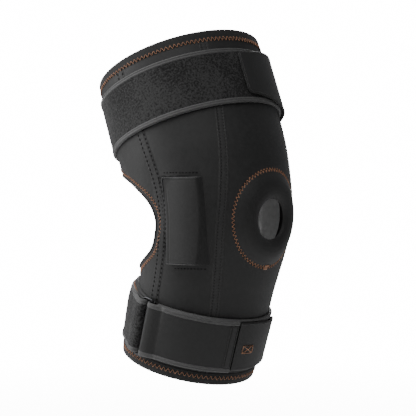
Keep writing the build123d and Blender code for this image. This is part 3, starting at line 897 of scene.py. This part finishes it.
def pocket_stitches(word, side):
    """Running stitches just outside a pocket's top, rear and lower edges."""
    t = linspace(0, 1, 80)
    rows = []
    for k, (p, q, over_y, over_z) in enumerate((
            (0.08 + 0.9 * t, 0 * t + 1, 0, 3.4), (0 * t + 1, t, 2.6, 0),
            (0.08 + 0.9 * t, 0 * t, 0, -3.4))):
        y, z = pocket_places(p, q, side)
        s, forward = side_to_leg(y + over_y, z + over_z)
        az = np.degrees(np.arccos(np.clip(forward / radius(s), -1, 1)))
        rows.append(dashes(f"{word}_pocket_row_{k}", s, -side * az, 2.9, 0.55, 0.42))
    return join(f"{word}_pocket_stitches", rows)


for word, side in (("right", -1), ("left", 1)):
    fix(pocket_cover(word, side), "pocket_fabric", f"{word}_hinge_pocket", bend=POCKET_BEND)
    fix(pocket_piping_painted_highlight(word, side), "pocket_fabric", bend=POCKET_BEND)
    fix(pocket_stitches(word, side), "pocket_fabric", bend=POCKET_BEND)


# ---- straps
def column(value, az):
    """A number, or one for each point of a path, as a column."""
    return np.broadcast_to(value, len(az))[:, None]


def ribbon(name, mid, az, lift, half_width, half_thick, mat, loop=False, count=30, taper=1.0,
           thin=1.0, level=None):
    """Strap along a path; taper scales its width and thin its thickness."""
    ds, dn = flat_section(half_width, half_thick, count, min(1.0, half_thick))
    points, pattern = along(mid, az, lift, ds * column(taper, az), dn * column(thin, az), level)
    return tube(name, points, pattern, [mat], loop, sharp=radians(65))


def bindings(name, span, az, lift, loop=False, thin=1.0, level=None):
    """Edge bindings along both edges of a strap, in a lighter grey that is painted sheen."""
    parts = []
    for s, way in zip(span, (-1, 1)):
        ds, dn = binding_section(way)
        points, pattern = along(s, az, lift, ds, dn * column(thin, az), level)
        parts.append(tube(f"{name}_{way}", points, pattern, [BINDING], loop, sharp=radians(70)))
    return join(name, parts)


def brushed_strap(name, edge_name, node, span, az, lift, strength, seed, count=46, **path):
    """Brushed strap that stands for a CAD node, and its edge bindings."""
    strap = ribbon(name, sum(span) / 2, az, lift, (span[1] - span[0]) / 2, 1.15, LOOP,
                   count=count, **path)
    fix(wiggle(strap, strength, 620, seed), "strap_loop", node)
    fix(bindings(edge_name, span, az, lift, **path), "strap_loop")


def tab_end(distance, half_width, corner):
    """Width and thickness factors near a tab's rounded free end."""
    d = np.clip(distance, 0, None)
    inside = np.clip(d, 0, corner)
    width = (half_width - corner + np.sqrt(corner ** 2 - (corner - inside) ** 2)) / half_width
    slim = np.sqrt(np.clip(1 - (1 - np.clip(d / 0.9, 0, 1)) ** 2, 0.05, 1))
    return width, slim


def tab(word, mid, az_from, az_to, corner, flare, drop, rise, curl, reach):
    """Tab with its hook tape and the piping line just inside its edge.

    It flares and drops towards its base, and curls over its last reach millimetres.
    """
    near = np.array((0, 0.05, 0.15, 0.3, 0.5, 0.8, 1.2, 1.7, 2.3, 3.0, 3.9, 5.0))
    scale = float(degree(mid))
    span = abs(az_to - az_from) * scale
    d = concatenate([near, linspace(6, span, 60)])[::-1]
    az = az_to - (1 if az_to > az_from else -1) * d / scale
    mid = mid - drop * step(3, 58, d)
    lift = (TAB_LIFT + curl * np.clip(1 - d / reach, 0, 1) ** 2
            + rise * step(20, 55, d) * step(span, 60, d))
    flared = 1 + flare * step(3, 58, d)
    width, slim = tab_end(d, TAB_HALF, corner)
    body = f"{word}_tab"
    face = ribbon(body, mid, az, lift, TAB_HALF, 0.75, SMOOTH, count=40, taper=width * flared,
                  thin=slim)
    fix(face, "strap_smooth", f"{word}_strap_tab", body=body)
    inner = d > 2.0
    width, _ = tab_end(d[inner] - 2.0, TAB_HALF - 1.4, corner)
    hook = ribbon(f"{word}_hook", mid[inner], az[inner], lift[inner] - 1.22, TAB_HALF - 1.4, 0.44,
                  HOOK, taper=width)
    fix(hook, "hook_tape", f"{word}_strap_hook", body=body)
    keep = d > 1.4
    width, _ = tab_end(d[keep] - 1.4, TAB_HALF - 1.5, corner - 1.4)
    edge = (TAB_HALF - 1.5) * width * flared[keep]
    mid = mid[keep]
    across = mid[-1] + linspace(edge[-1], -edge[-1], 24)[1:-1]
    s_line = concatenate([mid + edge, across, (mid - edge)[::-1]])
    az_line, lift_line = (concatenate([v[keep], np.full(22, v[keep][-1]), v[keep][::-1]])
                          for v in (az, lift))
    piping = thread(f"{word}_tab_piping", s_line, az_line, lift_line + 0.72, GREY_THREAD, 0.24)
    fix(piping, "strap_smooth", body=body)


round_az = linspace(-100, 260, 451)[:-1]
brushed_strap("upper_strap_band", "upper_strap_binding", "upper_strap", UPPER_STRAP, round_az,
              np.full(450, STRAP_LIFT), 0.3, 3.0, loop=True)
end_az = linspace(-100, UPPER_PEEL, 60)
end_lift = OVER_LIFT - 0.3 * np.clip((end_az - UPPER_PEEL + 3) / 3, 0, 1)
brushed_strap("upper_strap_outer_end", "upper_outer_end_binding", "upper_strap_end", UPPER_STRAP,
              end_az, end_lift, 0.25, 5.0)
tab("upper", UPPER_MID + 1.4, UPPER_PEEL + 1.6, UPPER_END + 1.4, corner=5.5, flare=0.34, drop=1.6,
    rise=0.5, curl=0.7, reach=9.0)

LOWER_HALF = (LOWER_STRAP[1] - LOWER_STRAP[0]) / 2
LOWER_SCALE = float(degree(LOWER_MID))


def fold(bar, way):
    """Path round a ring bar, from over the strap to under the bar, as (x, lift)."""
    turn = np.radians(linspace(75, 270, 17))
    return bar + way * FOLD_R * np.cos(turn), RING_LIFT + FOLD_R * np.sin(turn)


def ring_level(az):
    """One where a strap lies round the wire ring, falling to zero away from it."""
    return 1 - step(9, 20, np.abs(az - RING_AZ) * LOWER_SCALE)


turn_x, turn_lift = fold(RING_BAR, 1)
anchor_x = concatenate([[22, 19, 16, 13, 10.5, 8], turn_x, [7.5, 10, 14, 18]])
anchor_lift = concatenate([[3.75, 3.95, 4.6, 5.7, 6.8, 7.6], turn_lift, [1.6, 1.5, 1.45, 1.45]])
anchor_az = RING_AZ + anchor_x / LOWER_SCALE
wrap_az = linspace(anchor_az[-1], 360 + RING_AZ - 9.0 / LOWER_SCALE, 380)[1:]
strap_az = concatenate([anchor_az, wrap_az])
strap_lift = concatenate([anchor_lift, np.full(379, STRAP_LIFT)])
slim = concatenate([np.full(6, 0.8), np.full(17, 0.85), np.ones(4 + 379)])
brushed_strap("lower_strap_band", "lower_strap_binding", "lower_strap", LOWER_STRAP, strap_az,
              strap_lift, 0.3, 7.0, count=44, thin=slim, level=ring_level(strap_az))

turn_x, turn_lift = fold(-RING_BAR, -1)
run_az = linspace(LOWER_PEEL + 0.3, RING_AZ - 15.0 / LOWER_SCALE, 90)
back_x = concatenate([[-13.5, -11.5, -9.5, -7.5], turn_x])
back_az = concatenate([run_az, RING_AZ + back_x / LOWER_SCALE])
back_lift = concatenate([np.full(90, OVER_LIFT), [4.9, 5.9, 6.9, 7.6], turn_lift])
slim = concatenate([np.ones(86), linspace(1, 0.68, 8), np.full(17, 0.68)])
level = ring_level(back_az)
fix(ribbon("lower_strap_outer_run", LOWER_MID, back_az, back_lift, LOWER_HALF, 1.1, SMOOTH,
           count=40, thin=slim, level=level), "strap_smooth", "lower_strap_return")
fix(bindings("lower_outer_run_binding", LOWER_STRAP, back_az, back_lift, thin=slim * slim ** 0.5,
             level=level), "strap_smooth")
band_az = linspace(LOWER_PEEL + 0.4, LOWER_PEEL + 6.8, 14)
band_lift = 5.1 + 0.35 * np.sin(linspace(0, pi, 14)) ** 0.5
fix(ribbon("lower_strap_sewn_band", LOWER_MID, band_az, band_lift, LOWER_HALF - 4.0, 0.5, SEAM),
    "strap_smooth")
line = linspace(LOWER_STRAP[0] + 5, LOWER_STRAP[1] - 5, 60)
line_lift = 5.93 + 0.12 * np.cos(line * 2 * pi / 2.4)
rows = [thread(f"row_{k}", line, np.full(60, az), line_lift, BLACK_THREAD_AND_PIT_SHADE, 0.2)
        for k, az in enumerate((band_az[2], band_az[-3]))]
fix(join("lower_strap_band_stitches", rows), "strap_smooth")
tab("lower", LOWER_MID - 1.0, LOWER_PEEL - 1.1, LOWER_END, corner=8.0, flare=0.134, drop=-1.0,
    rise=0.0, curl=-0.8, reach=20.0)


def tab_mark():
    """Copper box stitch with a cross, where the lower tab carries its maker's sewn label."""
    half_s, half_az = 3.4, 5.2
    mid_az, mid_s = 3.0, LOWER_MID - 2.5
    corners = ((-1, -1), (-1, 1), (1, 1), (1, -1), (-1, -1), (1, 1), (1, -1), (-1, 1))
    t = linspace(0, 1, 25)
    lift = 5.62 + 0.16 * np.abs(np.sin(t * pi * 6))
    parts = []
    for k, (a, b) in enumerate(zip(corners[:-1], corners[1:])):
        s = mid_s + half_s * (a[0] + (b[0] - a[0]) * t)
        az = mid_az + half_az * (a[1] + (b[1] - a[1]) * t)
        parts.append(thread(f"mark_{k}", s, az, lift, COPPER, 0.3))
    return join("lower_tab_box_stitch", parts)


fix(tab_mark(), "strap_smooth", body="lower_tab")

# ---- calf flap
flap_line = smooth_line(
    (88, 93, 105, 123, 139, 160, 180), (-69.6, -68.6, -66.6, -64.4, -65.0, -67.0, -68.5),
    80, 190, 1.0, 4.0)
FLAP_FROM, FLAP_TO = 92.5, 267.5


def flap_top(az):
    return flap_line(180 - np.abs(180 - az))


def calf_flap():
    """Outer calf panel: it stands proud at its top hem and thins out under the strap."""
    az = linspace(FLAP_FROM, FLAP_TO, 180)[:, None]
    share = concatenate([[0, 0.004, 0.012, 0.03, 0.06, 0.1, 0.15], linspace(0.2, 1, 26)])
    top, low = flap_top(az), S_LOW + 7.0
    s = top + (low - top) * share
    below = top - s
    side = step(0, 5.0, np.minimum(az - FLAP_FROM, FLAP_TO - az) * LOWER_SCALE)
    az = az + 0 * s
    height = 0.22 + (1.5 * (1 - step(4.5, 9.0, below))) * (0.25 + 0.75 * side)
    height = height * np.sqrt(np.clip(below / 0.9, 0.03, 1))
    height = height - 0.25 * np.exp(-((below - 5.6) / 0.5) ** 2)
    tail = (step(LOWER_STRAP[0] + 1.0, LOWER_STRAP[0] - 1.5, s)
            * (1 - step(S_LOW + 8.6, S_LOW + 7.0, s)))
    height = height + 1.1 * tail * side
    points = faced(place(s, az, height), place(s, az, np.minimum(height - 0.2, -0.3)))
    pattern = faced(cloth(s, az, 1), cloth(s, az, 0))
    return tube("calf_flap_panel", points, pattern, [NEOPRENE], sharp=radians(60))


fix(calf_flap(), "neoprene", "calf_flap")
flap_az = linspace(94.5, 265.5, 400)
zigzag("calf_flap_stitching", flap_top(flap_az) - 5.6, flap_az, 2.9, 2.4, lift=1.8, loop=False)

# ---- carried-over CAD nodes
finishes = {"lower_strap_ring": WIRE}
for word in ("right", "left"):
    for part, mat in (("thigh_arm", ALUMINIUM), ("shin_arm", ALUMINIUM), ("rivet", STEEL),
                      ("stop_pin", STEEL), ("washer", NYLON)):
        finishes[f"{word}_hinge_{part}"] = mat
for name, mat in finishes.items():
    for slot in frame["nodes"][name].material_slots:
        slot.material = mat

# ---- camera, light and stage
CAMERA_AZ, CAMERA_EL, CAMERA_FAR = -48.1, 0.6, 1.0
FRAME_WIDE = 0.366
AIM_ACROSS, AIM_UP = -0.00348, 0.00906      # the brace's place in the photograph's frame


def direction(azimuth, elevation):
    a, e = radians(azimuth), radians(elevation)
    return Vector((sin(a) * cos(e), -cos(a) * cos(e), sin(e)))


def aim(obj, place_at, target):
    obj.location = place_at
    obj.rotation_euler = (Vector(target) - Vector(place_at)).to_track_quat("-Z", "Y").to_euler()
    bpy.context.scene.collection.objects.link(obj)


right_way = Vector((cos(radians(CAMERA_AZ)), sin(radians(CAMERA_AZ)), 0))
TARGET = Vector((0, SETBACK * MM, 0)) + AIM_ACROSS * right_way + Vector((0, 0, AIM_UP))
lens = bpy.data.cameras.new("photo_camera")
lens.sensor_width = 36.0
lens.lens = lens.sensor_width * CAMERA_FAR / FRAME_WIDE
camera = bpy.data.objects.new("photo_camera", lens)
aim(camera, TARGET + CAMERA_FAR * direction(CAMERA_AZ, CAMERA_EL), TARGET)
bpy.context.scene.camera = camera


def softbox(name, azimuth, elevation, far, size, power):
    light = bpy.data.lights.new(name, "AREA")
    light.shape = "RECTANGLE"
    light.size, light.size_y = size
    light.energy = power
    aim(bpy.data.objects.new(name, light), TARGET + far * direction(azimuth, elevation), TARGET)


softbox("key_left", -140, 21, 1.5, (0.7, 1.3), 24)
softbox("top_left", -80, 55, 1.5, (1.0, 0.9), 15)
softbox("fill_front", -40, 48, 2.0, (0.9, 1.2), 7)
softbox("rim_back", 130, 30, 1.8, (0.9, 1.3), 18)

world = bpy.data.worlds.new("studio")
bpy.context.scene.world = world
world.use_nodes = True
tree = world.node_tree
tree.nodes.clear()
seen, soft = (add(tree, "Background", Color=(1, 1, 1, 1), Strength=strength)
              for strength in (16.0, 0.15))
rays, mix, out = (add(tree, kind) for kind in ("LightPath", "MixShader", "OutputWorld"))
for ends in ((rays, "Is Camera Ray", mix, 0), (soft, 0, mix, 1), (seen, 0, mix, 2),
             (mix, 0, out, 0)):
    link(tree, *ends)


def floor():
    """Pale disc that fades out to the white round it."""
    count, rings = 96, 12
    points = [(r * cos(t), r * sin(t), -0.34) for r in linspace(0.02, 1.6, rings)
              for t in linspace(0, 2 * pi, count, endpoint=False)]
    faces = ring_faces(rings, count, False).tolist() + [tuple(range(count))[::-1]]
    mesh = bpy.data.meshes.new("pale_floor")
    mesh.from_pydata(points, [], faces)
    obj = bpy.data.objects.new("pale_floor", mesh)
    bpy.context.scene.collection.objects.link(obj)
    mat, tree, face = nodes_of("pale_floor")
    spot = add(tree, "TexCoord")
    away = add(tree, "VectorMath", operation="LENGTH")
    link(tree, spot, "Object", away, 0)
    fade = add(tree, "MapRange")
    shade(tree, fade, Value=away.outputs["Value"], From_Min=0.55, From_Max=1.5, To_Min=1.0,
          To_Max=0.0)
    rays = add(tree, "LightPath")
    glow = math(tree, "MULTIPLY_ADD", rays.outputs["Is Camera Ray"], 9.15, 0.15)
    shade(tree, face, Alpha=fade.outputs[0], Base_Color=(0.86, 0.86, 0.86, 1), Roughness=0.9,
          Emission_Color=(1, 1, 1, 1), Emission_Strength=glow)
    mesh.materials.append(mat)


floor()
